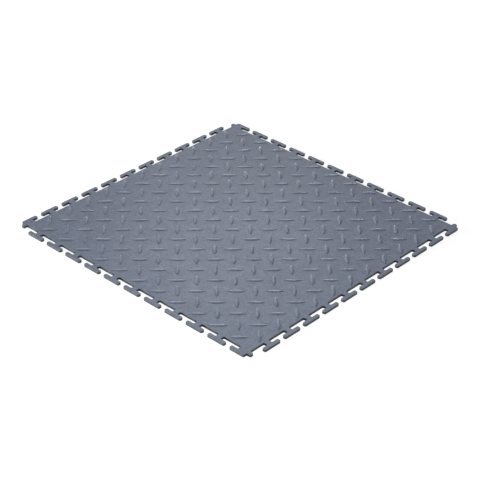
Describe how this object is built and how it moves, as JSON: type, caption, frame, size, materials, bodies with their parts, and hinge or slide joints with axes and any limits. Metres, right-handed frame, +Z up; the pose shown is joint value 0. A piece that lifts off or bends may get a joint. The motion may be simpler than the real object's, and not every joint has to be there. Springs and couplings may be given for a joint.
{
  "type": "interlocking pvc floor tile",
  "caption": "Square interlocking PVC floor tile with a raised diamond tread pattern and hammerhead tabs along all its sides; lies flat and locks to equal tiles.",
  "frame": {"origin": "on the underside, below the middle of the square body", "axes": "+Z up, out of the treaded top face; +X and +Y along the sides of the body"},
  "size_m": [0.5138, 0.5138, 0.005],
  "materials": {
    "pvc": "matte"
  },
  "bodies": {
    "root": {"floor_tile": "pvc"}
  },
  "joints": []
}
